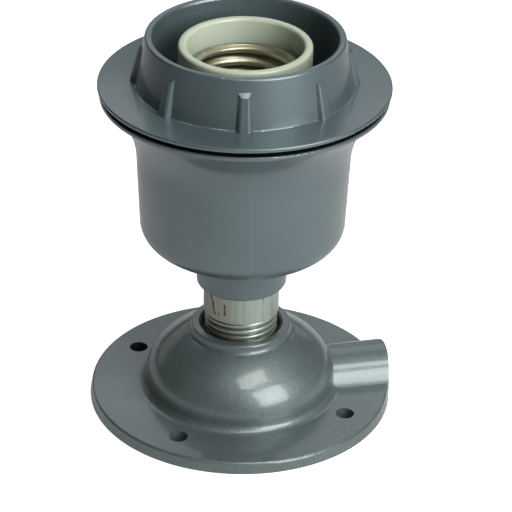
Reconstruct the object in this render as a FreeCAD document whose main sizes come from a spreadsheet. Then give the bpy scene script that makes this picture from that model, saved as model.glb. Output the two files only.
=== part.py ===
"""Screw lamp holder on a round cast base, in millimetres, +Z up.

The origin is on the holder's axis, at the underside of the base plate. The cable spout points
along +X. Heights are stacked from the base upwards: boss, bare nipple, cup, gasket, ring.
"""
import FreeCAD
import Part
import Sketcher
import math
import os

SIZES = {
    # Cast base
    "plate_radius": 40.9,
    "plate_draft": 0.5,
    "plate_thickness": 3.2,
    "plate_edge_round": 0.8,
    "dome_radius": 25.8,
    "dome_equator": 5.4,
    "dome_shoulder": 12.0,
    "dome_crown": 34.0,
    "dome_top": 20.0,
    "dome_foot_round": 2.1,
    "base_wall": 3.0,
    "boss_radius": 13.4,
    "boss_height": 22.2,
    "boss_foot_round": 1.3,
    "boss_edge_round": 0.6,
    "boss_mouth_gap": 0.35,
    "boss_mouth_depth": 2.2,
    "boss_mouth_bevel": 0.9,
    "socket_wall": 3.1,
    "socket_depth": 13.2,
    "spout_radius": 10.0,
    "spout_wall": 2.4,
    "fixing_circle": 32.6,
    "fixing_hole_radius": 2.5,
    "fixing_angle": 48.0,
    "earth_offset": 17.6,
    "earth_boss_radius": 4.2,
    "earth_boss_drop": 6.0,
    "earth_boss_reach": 12.0,
    "earth_screw_radius": 2.0,
    "earth_screw_length": 6.0,
    "earth_head_radius": 3.5,
    "earth_washer_radius": 4.1,
    "earth_washer_thickness": 0.8,
    # Nipple
    "nipple_radius": 10.15,
    "nipple_thread_radius": 9.75,
    "nipple_bore": 8.2,
    "nipple_bare": 13.1,
    "nipple_thread_shown": 4.5,
    "nipple_lead": 0.8,
    "thread_gap": 0.05,
    # Cup
    "neck_radius": 12.05,
    "neck_taper": 0.25,
    "neck_length": 12.9,
    "neck_edge_round": 0.5,
    "neck_fillet": 2.0,
    "neck_recess": 1.5,
    "cup_depth": 43.3,
    "cup_low_radius": 27.2,
    "cup_high_radius": 28.0,
    "cup_bottom_round": 6.0,
    "cup_wall": 2.5,
    "cup_floor": 2.5,
    "flare_start": 24.0,
    "flare_radius": 24.0,
    "rim_radius": 37.5,
    "rim_thickness": 1.2,
    "rim_edge_round": 0.3,
    "mouth_depth": 13.3,
    "pillar_circle": 20.1,
    "pillar_radius": 3.6,
    "pillar_web": 2.4,
    # Gasket
    "gasket_radius": 37.0,
    "gasket_hole_radius": 27.0,
    "gasket_thickness": 1.35,
    # Shade ring
    "ring_turn": 32.5,
    "spigot_radius": 26.4,
    "spigot_bore": 23.5,
    "spigot_length": 10.8,
    "ring_fit": 0.06,
    "ring_flange_radius": 38.0,
    "ring_flange_thickness": 1.2,
    "ring_edge_round": 0.45,
    "collar_height": 14.25,
    "collar_base_radius": 28.3,
    "collar_top_radius": 25.7,
    "collar_bore": 23.9,
    "collar_rim_round": 0.75,
    "collar_foot_round": 0.4,
    "rib_count": 8,
    "rib_height": 10.9,
    "rib_depth_low": 1.3,
    "rib_depth_high": 0.75,
    "rib_face_low": 2.6,
    "rib_face_high": 2.0,
    "rib_flank": 0.7,
    "rib_corner": 0.3,
    # Ceramic insert
    "insert_rise": 13.3,
    "insert_height": 42.8,
    "insert_floor": 14.0,
    "insert_wall": 2.2,
    "insert_rim_round": 0.8,
    "insert_flange_radius": 23.2,
    "insert_flange_height": 8.0,
    "recess_width": 6.6,
    "recess_depth": 1.2,
    "pocket_gap": 0.1,
    # Screw shell
    "shell_height": 22.5,
    "shell_wall": 0.4,
    "thread_radius": 13.35,
    "thread_depth": 1.1,
    "shell_flare": 0.25,
    "shell_mouth_height": 0.6,
    "shell_room": 1.1,
    "shell_seat_width": 1.4,
    "lug_width": 6.0,
    "lug_margin": 0.3,
    "head_room": 0.9,
    # Small screws
    "contact_screw_radius": 1.5,
    "contact_head_radius": 2.3,
    "contact_head_height": 1.5,
    "contact_screw_length": 10.0,
    "insert_screw_radius": 1.75,
    "insert_head_radius": 2.5,
    "insert_screw_length": 15.5,
    "washer_thickness": 0.6,
    "terminal_screw_radius": 1.7,
    "terminal_head_radius": 2.7,
    "terminal_screw_length": 5.0,
    "terminal_screw_height": 3.6,
    "slot_width": 0.8,
    "nut_width": 5.5,
    "nut_height": 2.4,
    # Terminals
    "block_length": 10.0,
    "block_width": 8.0,
    "block_height": 8.0,
    "block_screw_place": 3.0,
    "wire_place": 7.0,
    "wire_hole_radius": 1.8,
    "wire_hole_depth": 6.0,
    # Centre contact
    "tongue_width": 5.0,
    "tongue_thickness": 0.6,
    "tongue_screw_place": 6.0,
    "tongue_foot_end": 8.7,
    "tongue_bend": 3.0,
    "tongue_rise": 4.4,
    "tongue_top_start": 1.9,
    "tongue_top_end": 3.2,
    "button_radius": 2.0,
    "button_height": 1.0,
    "button_shank": 0.9,
    "button_clench": 0.4,
}

document = FreeCAD.newDocument("lamp_holder")
WHOLE_TURN = 360
OVERCUT = 2.0


class Size:
    """A length, with its number and the sheet expression that gives it."""

    def __init__(self, value, text):
        self.value = float(value)
        self.text = text

    @staticmethod
    def of(other):
        return other if isinstance(other, Size) else Size(other, repr(float(other)))

    def joined(self, other, sign, value):
        return Size(value, f"({self.text} {sign} {other.text})")

    def __add__(self, other):
        other = Size.of(other)
        return self.joined(other, "+", self.value + other.value)

    def __radd__(self, other):
        return Size.of(other) + self

    def __sub__(self, other):
        other = Size.of(other)
        return self.joined(other, "-", self.value - other.value)

    def __rsub__(self, other):
        return Size.of(other) - self

    def __mul__(self, other):
        other = Size.of(other)
        return self.joined(other, "*", self.value * other.value)

    def __rmul__(self, other):
        return Size.of(other) * self

    def __truediv__(self, other):
        other = Size.of(other)
        return self.joined(other, "/", self.value / other.value)

    def __neg__(self):
        return Size.of(0) - self

    def cosine(self):
        return Size(math.cos(math.radians(self.value)), f"cos({self.text} * 1 deg)")

    def sine(self):
        return Size(math.sin(math.radians(self.value)), f"sin({self.text} * 1 deg)")


class Sheet:
    """The spreadsheet of driving sizes; each alias reads as a Size."""

    def __init__(self, sizes):
        self.cells = document.addObject("Spreadsheet::Sheet", "sizes")
        for row, (name, value) in enumerate(sizes.items(), 1):
            self.cells.set(f"A{row}", name)
            self.cells.set(f"B{row}", str(value))
            self.cells.setAlias(f"B{row}", name)
        document.recompute()

    def __getattr__(self, name):
        return Size(self.cells.get(name), f"sizes.{name}")


size = Sheet(SIZES)

# Heights shared by several pieces
neck_level = size.boss_height + size.nipple_bare
cup_level = neck_level + size.neck_length
floor_level = cup_level + size.cup_floor
rim_level = cup_level + size.cup_depth
ring_level = rim_level + size.gasket_thickness
insert_level = rim_level + size.insert_rise - size.insert_height
shell_level = insert_level + size.insert_floor
tongue_level = shell_level - size.recess_depth
socket_level = size.boss_height - size.socket_depth

# Radii shared by several pieces
nipple_hole = size.nipple_thread_radius + size.thread_gap
socket_boss = nipple_hole + size.socket_wall
mouth_bore = size.spigot_radius + size.ring_fit
cup_inner_low = size.cup_low_radius - size.cup_wall
cup_inner_high = size.cup_high_radius - size.cup_wall
shell_inner = size.thread_radius - size.thread_depth / 2
shell_mouth = size.thread_radius + size.shell_wall + size.shell_flare
insert_bore = shell_mouth + size.shell_room
insert_radius = insert_bore + size.insert_wall

# Distances from the axis of the screws in the shell's lugs and of the two terminal blocks
lug_offset = shell_inner - size.head_room - size.contact_head_radius
shell_block_start = lug_offset - size.block_screw_place
contact_block_start = size.tongue_screw_place - size.block_screw_place


def bind(item, path, length):
    """Sets one property to a plain number or ties it to the sheet."""
    if isinstance(length, Size):
        item.setExpression(path, length.text)
    else:
        setattr(item, path, length)


def place(item, x=0, y=0, z=0, axis=(0, 0, 1), angle=0):
    """Places an item; lengths that are Sizes stay tied to the sheet."""
    spot = FreeCAD.Vector(*(Size.of(value).value for value in (x, y, z)))
    turn = FreeCAD.Rotation(FreeCAD.Vector(*axis), Size.of(angle).value)
    item.Placement = FreeCAD.Placement(spot, turn)
    for path, value in (("x", x), ("y", y), ("z", z)):
        if isinstance(value, Size):
            item.setExpression(f"Placement.Base.{path}", value.text)
    if isinstance(angle, Size):
        item.setExpression("Placement.Rotation.Angle", angle.text)
    return item


def primitive(kind, name, **lengths):
    """A Part primitive with its sizes tied to the sheet."""
    item = document.addObject(f"Part::{kind}", name)
    for path, length in lengths.items():
        bind(item, path, length)
    return item


def rod(name, radius, height):
    return primitive("Cylinder", name, Radius=radius, Height=height)


def block(name, length, width, height):
    return primitive("Box", name, Length=length, Width=width, Height=height)


def cut(label, base, tools):
    """The base with every tool taken out of it."""
    tool = tools[0]
    if len(tools) > 1:
        tool = document.addObject("Part::MultiFuse", f"{label}_tools")
        tool.Shapes = tools
    result = document.addObject("Part::Cut", label)
    result.Base = base
    result.Tool = tool
    return result


def group(label, items):
    """Identical pieces kept together as separate solids."""
    result = document.addObject("Part::Compound", label)
    result.Links = items
    return result


def new_body(name):
    return document.addObject("PartDesign::Body", name)


def origin_feature(body, role):
    return next(item for item in body.Origin.OriginFeatures if item.Role == role)


def sketch_on(body, name, role, offset=0):
    """A sketch on one of the body's origin planes, moved off it along its normal."""
    sketch = body.newObject("Sketcher::SketchObject", name)
    sketch.AttachmentSupport = [(origin_feature(body, role), "")]
    sketch.MapMode = "FlatFace"
    if isinstance(offset, Size):
        sketch.setExpression("AttachmentOffset.Base.z", offset.text)
    return sketch


class Outline:
    """A closed outline in a sketch, with its corners tied to the sheet."""

    def __init__(self, sketch, x, y):
        self.sketch = sketch
        self.start = (x, y)
        self.spot = (Size.of(x).value, Size.of(y).value)
        self.pieces = []

    def hold(self, kind, piece, point, length):
        """Ties one coordinate of a point; a bare zero keeps it on the axis."""
        if not isinstance(length, Size):
            axis = -2 if kind == "DistanceX" else -1
            self.sketch.addConstraint(Sketcher.Constraint("PointOnObject", piece, point, axis))
            return
        rule = Sketcher.Constraint(kind, -1, 1, piece, point, length.value)
        number = self.sketch.addConstraint(rule)
        self.sketch.setExpression(f"Constraints[{number}]", length.text)

    def add(self, curve, first, last, x, y, smooth=False):
        """Adds a curve; first and last are its point numbers in drawing order."""
        number = self.sketch.addGeometry(curve, False)
        self.pieces.append((number, first, last, x, y, smooth))
        return number

    def line(self, x, y):
        """A straight line to a corner."""
        end = (Size.of(x).value, Size.of(y).value)
        curve = Part.LineSegment(FreeCAD.Vector(*self.spot, 0), FreeCAD.Vector(*end, 0))
        self.add(curve, 1, 2, x, y)
        self.spot = end
        return self

    def draw_arc(self, centre, end, x, y, smooth=False):
        """The shorter arc about a centre, from the present spot to its end."""
        start_angle = math.atan2(self.spot[1] - centre[1], self.spot[0] - centre[0])
        end_angle = math.atan2(end[1] - centre[1], end[0] - centre[0])
        radius = math.dist(self.spot, centre)
        circle = Part.Circle(FreeCAD.Vector(*centre, 0), FreeCAD.Vector(0, 0, 1), radius)
        forward = math.sin(end_angle - start_angle) > 0
        low, high = (start_angle, end_angle) if forward else (end_angle, start_angle)
        high += 2 * math.pi if high < low else 0
        first, last = (1, 2) if forward else (2, 1)
        number = self.add(Part.ArcOfCircle(circle, low, high), first, last, x, y, smooth)
        self.spot = end
        return number

    def arc(self, centre_x, centre_y, x=None, y=None, side=1):
        """An arc about a tied centre, to the one coordinate that is given."""
        centre = (Size.of(centre_x).value, Size.of(centre_y).value)
        radius = math.dist(self.spot, centre)
        if x is not None:
            across = Size.of(x).value
            end = (across, centre[1] + side * math.sqrt(radius ** 2 - (across - centre[0]) ** 2))
        else:
            up = Size.of(y).value
            end = (centre[0] + side * math.sqrt(radius ** 2 - (up - centre[1]) ** 2), up)
        number = self.draw_arc(centre, end, x, y)
        self.hold("DistanceX", number, 3, centre_x)
        self.hold("DistanceY", number, 3, centre_y)
        return self

    def shoulder_and_crown(self, centre_x, centre_y, crown, x, y):
        """An arc about a tied centre that runs smoothly into a larger one, up to a corner."""
        centre = (centre_x.value, centre_y.value)
        end = (Size.of(x).value, Size.of(y).value)
        small = math.dist(self.spot, centre)
        spread = crown.value - small
        reach = math.dist(centre, end)
        lean = math.acos((crown.value ** 2 - spread ** 2 - reach ** 2) / (2 * spread * reach))
        angle = math.atan2(end[1] - centre[1], end[0] - centre[0]) - lean
        towards = (math.cos(angle), math.sin(angle))
        far_centre = (centre[0] - spread * towards[0], centre[1] - spread * towards[1])
        joint = (centre[0] + small * towards[0], centre[1] + small * towards[1])
        shoulder = self.draw_arc(centre, joint, None, None)
        self.hold("DistanceX", shoulder, 3, centre_x)
        self.hold("DistanceY", shoulder, 3, centre_y)
        upper = self.draw_arc(far_centre, end, x, y, smooth=True)
        rule = self.sketch.addConstraint(Sketcher.Constraint("Radius", upper, crown.value))
        self.sketch.setExpression(f"Constraints[{rule}]", crown.text)
        return self

    def close(self):
        """Joins the pieces end to end and ties each corner once."""
        first_x, first_y = self.start
        if math.dist(self.spot, (Size.of(first_x).value, Size.of(first_y).value)) > 1e-6:
            self.line(first_x, first_y)
        for index, (number, _, last, x, y, _) in enumerate(self.pieces):
            following, start, _, _, _, smooth = self.pieces[(index + 1) % len(self.pieces)]
            kind = "Tangent" if smooth else "Coincident"
            self.sketch.addConstraint(Sketcher.Constraint(kind, number, last, following, start))
            if x is not None:
                self.hold("DistanceX", number, last, x)
            if y is not None:
                self.hold("DistanceY", number, last, y)
        return self.sketch


def turned(body, sketch, name):
    """The sketch turned about the body's upright axis."""
    feature = body.newObject("PartDesign::Revolution", name)
    feature.Profile = sketch
    feature.ReferenceAxis = (sketch, ["V_Axis"])
    feature.Angle = WHOLE_TURN
    sketch.Visibility = False
    return feature


def trimmed(body, sketch, name):
    """The sketch turned about the body's upright axis and taken away."""
    feature = body.newObject("PartDesign::Groove", name)
    feature.Profile = sketch
    feature.ReferenceAxis = (sketch, ["V_Axis"])
    feature.Angle = WHOLE_TURN
    return feature


def padded(body, sketch, name, length):
    feature = body.newObject("PartDesign::Pad", name)
    feature.Profile = sketch
    bind(feature, "Length", length)
    return feature


def rectangle(sketch, x0, y0, x1, y1):
    return Outline(sketch, x0, y0).line(x1, y0).line(x1, y1).line(x0, y1).close()


def disc(sketch, x, y, radius):
    """A circle whose centre and radius are tied to the sheet."""
    spot = FreeCAD.Vector(Size.of(x).value, Size.of(y).value, 0)
    number = sketch.addGeometry(Part.Circle(spot, FreeCAD.Vector(0, 0, 1), radius.value), False)
    outline = Outline(sketch, 0, 0)
    outline.hold("DistanceX", number, 3, x)
    outline.hold("DistanceY", number, 3, y)
    rule = sketch.addConstraint(Sketcher.Constraint("Radius", number, radius.value))
    sketch.setExpression(f"Constraints[{rule}]", radius.text)
    return sketch


def rounded(body, name, radius, rings):
    """Rounds the level circular edges found at each radius and height."""
    document.recompute()
    base = body.Tip
    names = []
    for number, edge in enumerate(base.Shape.Edges, 1):
        curve = edge.Curve
        if not isinstance(curve, Part.Circle) or abs(abs(curve.Axis.z) - 1) > 1e-6:
            continue
        for ring_radius, height in rings:
            ring_radius, height = Size.of(ring_radius).value, Size.of(height).value
            if abs(curve.Radius - ring_radius) < 1e-3 and abs(curve.Center.z - height) < 1e-3:
                names.append(f"Edge{number}")
    feature = body.newObject("PartDesign::Fillet", name)
    feature.Base = (base, names)
    bind(feature, "Radius", radius)
    return feature


def screw(name, shank_radius, length, head_radius, head_height):
    """A slotted pan-head screw; its head sits on z = 0 and its shank points down."""
    body = new_body(name)
    lead = shank_radius * 0.25
    crown = head_height * 0.5
    outline = Outline(sketch_on(body, f"{name}_outline", "XZ_Plane"), 0, -length)
    outline.line(shank_radius - lead, -length)
    outline.line(shank_radius, lead - length)
    outline.line(shank_radius, 0)
    outline.line(head_radius, 0)
    outline.line(head_radius, crown)
    outline.arc(head_radius - crown, crown, x=head_radius - crown)
    outline.line(0, head_height)
    turned(body, outline.close(), f"{name}_turned")
    slot = sketch_on(body, f"{name}_slot_outline", "XY_Plane", head_height)
    half = size.slot_width / 2
    rectangle(slot, -head_radius, -half, head_radius, half)
    pocket = body.newObject("PartDesign::Pocket", f"{name}_slot")
    pocket.Profile = slot
    bind(pocket, "Length", crown)
    return body


def washer(name, radius, hole_radius, thickness):
    """A flat washer that lies on z = 0."""
    body = new_body(name)
    sketch = sketch_on(body, f"{name}_outline", "XY_Plane")
    disc(sketch, 0, 0, radius)
    disc(sketch, 0, 0, hole_radius)
    padded(body, sketch, f"{name}_pad", thickness)
    return body


def base_casting():
    """The outer form of the base: plate, dome, boss ring and half-round spout."""
    body = new_body("base_casting")
    shoulder_x = size.dome_radius - size.dome_shoulder
    plate_top = size.plate_radius - size.plate_draft
    outline = Outline(sketch_on(body, "base_outline", "XZ_Plane"), 0, 0)
    outline.line(size.plate_radius, 0)
    outline.line(plate_top, size.plate_thickness)
    outline.line(size.dome_radius, size.plate_thickness)
    outline.line(size.dome_radius, size.dome_equator)
    outline.shoulder_and_crown(
        shoulder_x, size.dome_equator, size.dome_crown, size.boss_radius, size.dome_top)
    outline.line(size.boss_radius, size.boss_height)
    outline.line(0, size.boss_height)
    turned(body, outline.close(), "base_turned")
    rounded(body, "plate_edge", size.plate_edge_round, [(plate_top, size.plate_thickness)])
    rounded(body, "dome_foot", size.dome_foot_round, [(size.dome_radius, size.plate_thickness)])
    rounded(body, "boss_foot", size.boss_foot_round, [(size.boss_radius, size.dome_top)])
    rounded(body, "boss_edge", size.boss_edge_round, [(size.boss_radius, size.boss_height)])

    spout = Outline(sketch_on(body, "spout_outline", "YZ_Plane"), size.spout_radius, 0)
    spout.arc(0, 0, x=0)
    spout.arc(0, 0, y=0, side=-1)
    padded(body, spout.close(), "spout", size.plate_radius + OVERCUT)
    trim = sketch_on(body, "spout_end_outline", "XZ_Plane")
    far = size.plate_radius + 2 * OVERCUT
    rectangle(trim, size.plate_radius, Size.of(-OVERCUT), far, size.spout_radius + OVERCUT)
    trimmed(body, trim, "spout_end")
    return body


def base_core():
    """The hollow under the dome, less the nipple's boss and the earth screw's boss."""
    body = new_body("base_core")
    inner = size.dome_radius - size.base_wall
    shoulder_x = size.dome_radius - size.dome_shoulder
    outline = Outline(sketch_on(body, "core_outline", "XZ_Plane"), 0, Size.of(-OVERCUT))
    outline.line(inner, Size.of(-OVERCUT))
    outline.line(inner, size.dome_equator)
    outline.shoulder_and_crown(
        shoulder_x, size.dome_equator, size.dome_crown - size.base_wall,
        socket_boss, size.dome_top - size.base_wall)
    outline.line(socket_boss, socket_level)
    outline.line(0, socket_level)
    turned(body, outline.close(), "core_turned")
    earth_boss = rod("earth_boss", size.earth_boss_radius, size.earth_boss_reach)
    place(earth_boss, x=-size.earth_offset, z=size.earth_boss_drop)
    return cut("core_with_bosses", body, [earth_boss])


def cast_base():
    """The painted casting, with the nipple's threaded hole and four fixing holes."""
    channel_length = size.plate_radius + OVERCUT - socket_boss
    channel = rod("channel", size.spout_radius - size.spout_wall, channel_length)
    place(channel, x=socket_boss, axis=(0, 1, 0), angle=90)
    bore = place(rod("base_bore", nipple_hole, size.socket_depth + OVERCUT), z=socket_level)
    mouth_radius = size.nipple_radius + size.boss_mouth_gap
    mouth = rod("base_mouth", mouth_radius, size.boss_mouth_depth + OVERCUT)
    place(mouth, z=size.boss_height - size.boss_mouth_depth)
    bevel = primitive(
        "Cone", "base_bevel", Radius1=mouth_radius,
        Radius2=mouth_radius + size.boss_mouth_bevel, Height=size.boss_mouth_bevel)
    place(bevel, z=size.boss_height - size.boss_mouth_bevel)
    earth_hole_radius = size.earth_screw_radius + size.thread_gap
    earth_hole = rod("earth_hole", earth_hole_radius, size.earth_screw_length + OVERCUT)
    earth_hole_top = size.earth_boss_drop + size.earth_screw_length
    place(earth_hole, x=-size.earth_offset, z=earth_hole_top - size.earth_screw_length - OVERCUT)
    tools = [base_core(), channel, bore, mouth, bevel, earth_hole]
    for quarter in range(4):
        angle = size.fixing_angle + 90 * quarter
        hole = rod(f"fixing_hole_{quarter}", size.fixing_hole_radius,
                   size.plate_thickness + 2 * OVERCUT)
        x, y = size.fixing_circle * angle.cosine(), size.fixing_circle * angle.sine()
        tools.append(place(hole, x=x, y=y, z=Size.of(-OVERCUT)))
    return place(cut("cast_base", base_casting(), tools))


def earth_parts():
    """The earth screw and its washer, under the dome."""
    seat = size.earth_boss_drop - size.earth_washer_thickness
    plate = washer("earth_washer", size.earth_washer_radius,
                   size.earth_screw_radius + size.thread_gap, size.earth_washer_thickness)
    place(plate, x=-size.earth_offset, z=seat)
    bolt = screw("earth_screw", size.earth_screw_radius, size.earth_screw_length,
                 size.earth_head_radius, size.earth_head_radius * 0.6)
    place(bolt, x=-size.earth_offset, z=seat, axis=(1, 0, 0), angle=180)
    return [bolt, plate]


def conduit_nipple():
    """A steel nipple: plain barrel between two threaded ends, bored for the wires."""
    body = new_body("conduit_nipple")
    bottom = socket_level
    low = size.boss_height + size.nipple_thread_shown - bottom
    high = neck_level + size.neck_recess - bottom
    top = floor_level - bottom
    ends = size.nipple_thread_radius - size.nipple_lead
    outline = Outline(sketch_on(body, "nipple_outline", "XZ_Plane"), size.nipple_bore, 0)
    outline.line(ends, 0)
    outline.line(size.nipple_thread_radius, size.nipple_lead)
    outline.line(size.nipple_thread_radius, low)
    outline.line(size.nipple_radius, low)
    outline.line(size.nipple_radius, high)
    outline.line(size.nipple_thread_radius, high)
    outline.line(size.nipple_thread_radius, top - size.nipple_lead)
    outline.line(ends, top)
    outline.line(size.nipple_bore, top)
    turned(body, outline.close(), "nipple_turned")
    return place(body, z=bottom)


def holder_cup():
    """The moulded cup: neck, rounded bottom, tapered wall, flared rim and two pillars inside."""
    body = new_body("cup_moulding")
    neck = size.neck_length
    rim = neck + size.cup_depth
    under_rim = rim - size.rim_thickness
    round_level = neck + size.cup_bottom_round
    flare_level = neck + size.flare_start
    inner_round = size.cup_bottom_round - size.cup_floor
    floor = neck + size.cup_floor
    flare_x = size.cup_high_radius + size.flare_radius
    recess_radius = size.nipple_radius + size.thread_gap
    ledge = rim - size.mouth_depth

    outline = Outline(sketch_on(body, "cup_outline", "XZ_Plane"), recess_radius, 0)
    outline.line(size.neck_radius, 0)
    outline.line(size.neck_radius + size.neck_taper, neck)
    outline.line(size.cup_low_radius - size.cup_bottom_round, neck)
    outline.arc(size.cup_low_radius - size.cup_bottom_round, round_level, y=round_level)
    outline.line(size.cup_high_radius, flare_level)
    outline.arc(flare_x, flare_level, y=under_rim, side=-1)
    outline.line(size.rim_radius, under_rim)
    outline.line(size.rim_radius, rim)
    outline.line(mouth_bore, rim)
    outline.line(mouth_bore, ledge)
    outline.line(cup_inner_high, ledge)
    outline.line(cup_inner_low, floor + inner_round)
    outline.arc(cup_inner_low - inner_round, floor + inner_round, x=cup_inner_low - inner_round, side=-1)
    outline.line(nipple_hole, floor)
    outline.line(nipple_hole, size.neck_recess)
    outline.line(recess_radius, size.neck_recess)
    turned(body, outline.close(), "cup_turned")
    rounded(body, "neck_edge", size.neck_edge_round, [(size.neck_radius, 0)])
    rounded(body, "neck_fillet", size.neck_fillet, [(size.neck_radius + size.neck_taper, neck)])
    rounded(body, "rim_edges", size.rim_edge_round,
            [(size.rim_radius, rim), (size.rim_radius, under_rim)])

    pillar_height = insert_level - floor_level
    pillars = sketch_on(body, "pillar_outline", "XY_Plane", floor)
    disc(pillars, 0, size.pillar_circle, size.pillar_radius)
    disc(pillars, 0, -size.pillar_circle, size.pillar_radius)
    padded(body, pillars, "pillars", pillar_height)
    webs = sketch_on(body, "web_outline", "XY_Plane", floor)
    half = size.pillar_web / 2
    rectangle(webs, -half, size.pillar_circle, half, cup_inner_high)
    rectangle(webs, -half, -cup_inner_high, half, -size.pillar_circle)
    padded(body, webs, "webs", pillar_height - size.cup_floor)

    hole_depth = size.insert_screw_length - size.insert_flange_height
    tools = []
    for side in (1, -1):
        hole = rod(f"pillar_hole_{side % 3}", size.insert_screw_radius + size.thread_gap,
                   hole_depth + OVERCUT)
        tools.append(place(hole, y=size.pillar_circle * side,
                           z=floor + pillar_height - hole_depth))
    return place(cut("holder_cup", body, tools), z=neck_level)


def ring_gasket():
    gasket = washer("ring_gasket", size.gasket_radius, size.gasket_hole_radius, size.gasket_thickness)
    return place(gasket, z=rim_level)


def collar_radius(height):
    """The collar's outer radius at a height above the flange's underside."""
    rise = size.collar_height - size.ring_flange_thickness
    slope = (size.collar_base_radius - size.collar_top_radius) / rise
    return size.collar_base_radius - slope * (height - size.ring_flange_thickness)


def rib_section(body, name, height, depth, face):
    """A rib's level section: a bevelled face outside, wider where it runs into the collar."""
    outer = collar_radius(height) + depth
    inner = outer - 2 * depth
    wide = face / 2 + 2 * depth * size.rib_flank
    flat = face / 2 - size.rib_corner
    edge = face / 2 + size.rib_corner * size.rib_flank
    back = outer - size.rib_corner
    outline = Outline(sketch_on(body, name, "XY_Plane", height), inner, -wide)
    outline.line(back, -edge).line(outer, -flat).line(outer, flat).line(back, edge)
    return outline.line(inner, wide).close()


def shade_ring():
    """The moulded ring: threaded spigot, wide flange and tapered collar with bevelled ribs."""
    body = new_body("shade_ring")
    thick = size.ring_flange_thickness
    outline = Outline(sketch_on(body, "ring_outline", "XZ_Plane"), size.spigot_bore, -size.spigot_length)
    outline.line(size.spigot_radius, -size.spigot_length)
    outline.line(size.spigot_radius, 0)
    outline.line(size.ring_flange_radius, 0)
    outline.line(size.ring_flange_radius, thick)
    outline.line(size.collar_base_radius, thick)
    outline.line(size.collar_top_radius, size.collar_height)
    outline.line(size.collar_bore, size.collar_height)
    turned(body, outline.close(), "ring_turned")
    rounded(body, "flange_edges", size.ring_edge_round,
            [(size.ring_flange_radius, 0), (size.ring_flange_radius, thick)])
    rounded(body, "collar_foot", size.collar_foot_round, [(size.collar_base_radius, thick)])
    rounded(body, "collar_rim", size.collar_rim_round,
            [(size.collar_top_radius, size.collar_height), (size.collar_bore, size.collar_height)])

    rib = body.newObject("PartDesign::AdditiveLoft", "rib")
    rib.Profile = rib_section(
        body, "rib_foot", thick * 0.5, size.rib_depth_low, size.rib_face_low)
    rib.Sections = [rib_section(
        body, "rib_head", size.rib_height, size.rib_depth_high, size.rib_face_high)]
    rib.Ruled = True
    ribs = body.newObject("PartDesign::PolarPattern", "ribs")
    ribs.Originals = [rib]
    ribs.Axis = (origin_feature(body, "Z_Axis"), [""])
    ribs.Angle = WHOLE_TURN
    bind(ribs, "Occurrences", size.rib_count)
    body.Tip = ribs

    bevel = sketch_on(body, "rib_bevel_outline", "XZ_Plane")
    reach = size.rib_depth_low * 3
    edge = collar_radius(size.rib_height)
    bevels = Outline(bevel, edge, size.rib_height)
    bevels.line(edge + reach, size.rib_height - reach)
    bevels.line(edge + reach, size.rib_height + thick)
    bevels.line(edge, size.rib_height + thick)
    trimmed(body, bevels.close(), "rib_bevels")
    return place(body, z=ring_level, angle=size.ring_turn)


def insert_pocket(name, start, gap):
    """A terminal pocket, open below and at the rim, that starts at a distance from the axis."""
    length = size.insert_flange_radius + OVERCUT - start + gap
    return block(name, length, size.block_width + 2 * gap, size.block_height + OVERCUT)


def ceramic_insert():
    """The ceramic body: barrel round the shell, floor, flange and terminal pockets below."""
    body = new_body("insert_body")
    outline = Outline(sketch_on(body, "insert_outline", "XZ_Plane"), 0, 0)
    outline.line(size.insert_flange_radius, 0)
    outline.line(size.insert_flange_radius, size.insert_flange_height)
    outline.line(insert_radius, size.insert_flange_height)
    outline.line(insert_radius, size.insert_height)
    outline.line(insert_bore, size.insert_height)
    outline.line(insert_bore, size.insert_floor)
    outline.line(0, size.insert_floor)
    turned(body, outline.close(), "insert_turned")
    rounded(body, "insert_rim", size.insert_rim_round,
            [(insert_radius, size.insert_height), (insert_bore, size.insert_height)])
    rounded(body, "insert_shoulder", size.insert_rim_round,
            [(size.insert_flange_radius, size.insert_flange_height)])

    gap = size.pocket_gap
    half = size.block_width / 2 + gap
    shell_pocket = insert_pocket("shell_pocket", shell_block_start, gap)
    place(shell_pocket, x=shell_block_start - gap, y=-half, z=Size.of(-OVERCUT))
    contact_pocket = insert_pocket("contact_pocket", contact_block_start, gap)
    place(contact_pocket, x=gap - contact_block_start, y=half, z=Size.of(-OVERCUT), angle=180)
    nut_half = size.nut_width / 2 + gap
    nut_pocket = block("nut_pocket", nut_half * 2, nut_half * 2, size.block_height + OVERCUT)
    place(nut_pocket, x=-nut_half, y=lug_offset - nut_half, z=Size.of(-OVERCUT))
    recess_end = size.tongue_foot_end + 2 * gap
    recess = block("recess", recess_end * 1.5, size.recess_width, size.recess_depth + OVERCUT)
    place(recess, x=-recess_end, y=-size.recess_width / 2, z=size.insert_floor - size.recess_depth)

    through = size.insert_floor + 2 * OVERCUT
    small = size.contact_screw_radius + gap
    large = size.insert_screw_radius + gap
    tools = [shell_pocket, contact_pocket, nut_pocket, recess]
    holes = [("lug_hole_x", small, lug_offset, 0), ("lug_hole_y", small, 0, lug_offset),
             ("tongue_hole", small, -size.tongue_screw_place, 0),
             ("insert_hole_up", large, 0, size.pillar_circle),
             ("insert_hole_down", large, 0, -size.pillar_circle)]
    for name, radius, x, y in holes:
        tools.append(place(rod(name, radius, through), x=x, y=y, z=Size.of(-OVERCUT)))
    return place(cut("ceramic_insert", body, tools), z=insert_level)


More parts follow.
